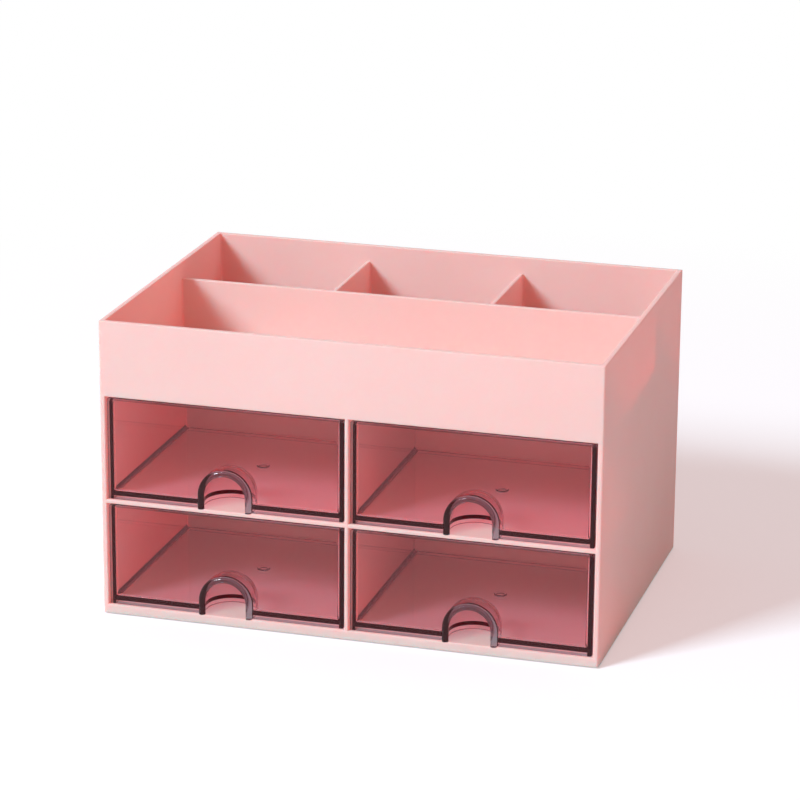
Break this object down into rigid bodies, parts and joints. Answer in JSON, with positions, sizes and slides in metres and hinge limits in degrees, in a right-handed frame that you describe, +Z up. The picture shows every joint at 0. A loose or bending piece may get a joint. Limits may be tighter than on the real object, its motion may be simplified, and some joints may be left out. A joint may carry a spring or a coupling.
{
  "type": "desktop drawer organizer",
  "caption": "Desktop organizer: moulded cabinet with an open tray and deep pen wells on top, over see-through drawers with arched finger pockets that slide out to the front.",
  "frame": {"origin": "centre of the footprint's bounding box, on the surface that the four foot pads stand on", "axes": "+X to the right seen from the front, along the width; +Y to the back, so the drawers open towards -Y; +Z up"},
  "size_m": [0.26, 0.1843, 0.1564],
  "materials": {
    "cabinet_plastic": "satin pink moulded plastic",
    "drawer_plastic": "clear smoke-tinted polystyrene, polished",
    "foot_rubber": "soft translucent grey pad"
  },
  "bodies": {
    "cabinet": {"cabinet": "cabinet_plastic", "foot_front_left": "foot_rubber", "foot_front_right": "foot_rubber", "foot_rear_left": "foot_rubber", "foot_rear_right": "foot_rubber"},
    "drawer_upper_left": {"drawer_upper_left": "drawer_plastic"},
    "drawer_upper_right": {"drawer_upper_right": "drawer_plastic"},
    "drawer_lower_left": {"drawer_lower_left": "drawer_plastic"},
    "drawer_lower_right": {"drawer_lower_right": "drawer_plastic"}
  },
  "joints": [
    {"name": "drawer_upper_left_slide", "type": "slide", "parent": "cabinet", "child": "drawer_upper_left", "axis": [0, -1, 0], "range_m": [0, 0.09]},
    {"name": "drawer_upper_right_slide", "type": "slide", "parent": "cabinet", "child": "drawer_upper_right", "axis": [0, -1, 0], "range_m": [0, 0.09]},
    {"name": "drawer_lower_left_slide", "type": "slide", "parent": "cabinet", "child": "drawer_lower_left", "axis": [0, -1, 0], "range_m": [0, 0.09]},
    {"name": "drawer_lower_right_slide", "type": "slide", "parent": "cabinet", "child": "drawer_lower_right", "axis": [0, -1, 0], "range_m": [0, 0.09]}
  ]
}
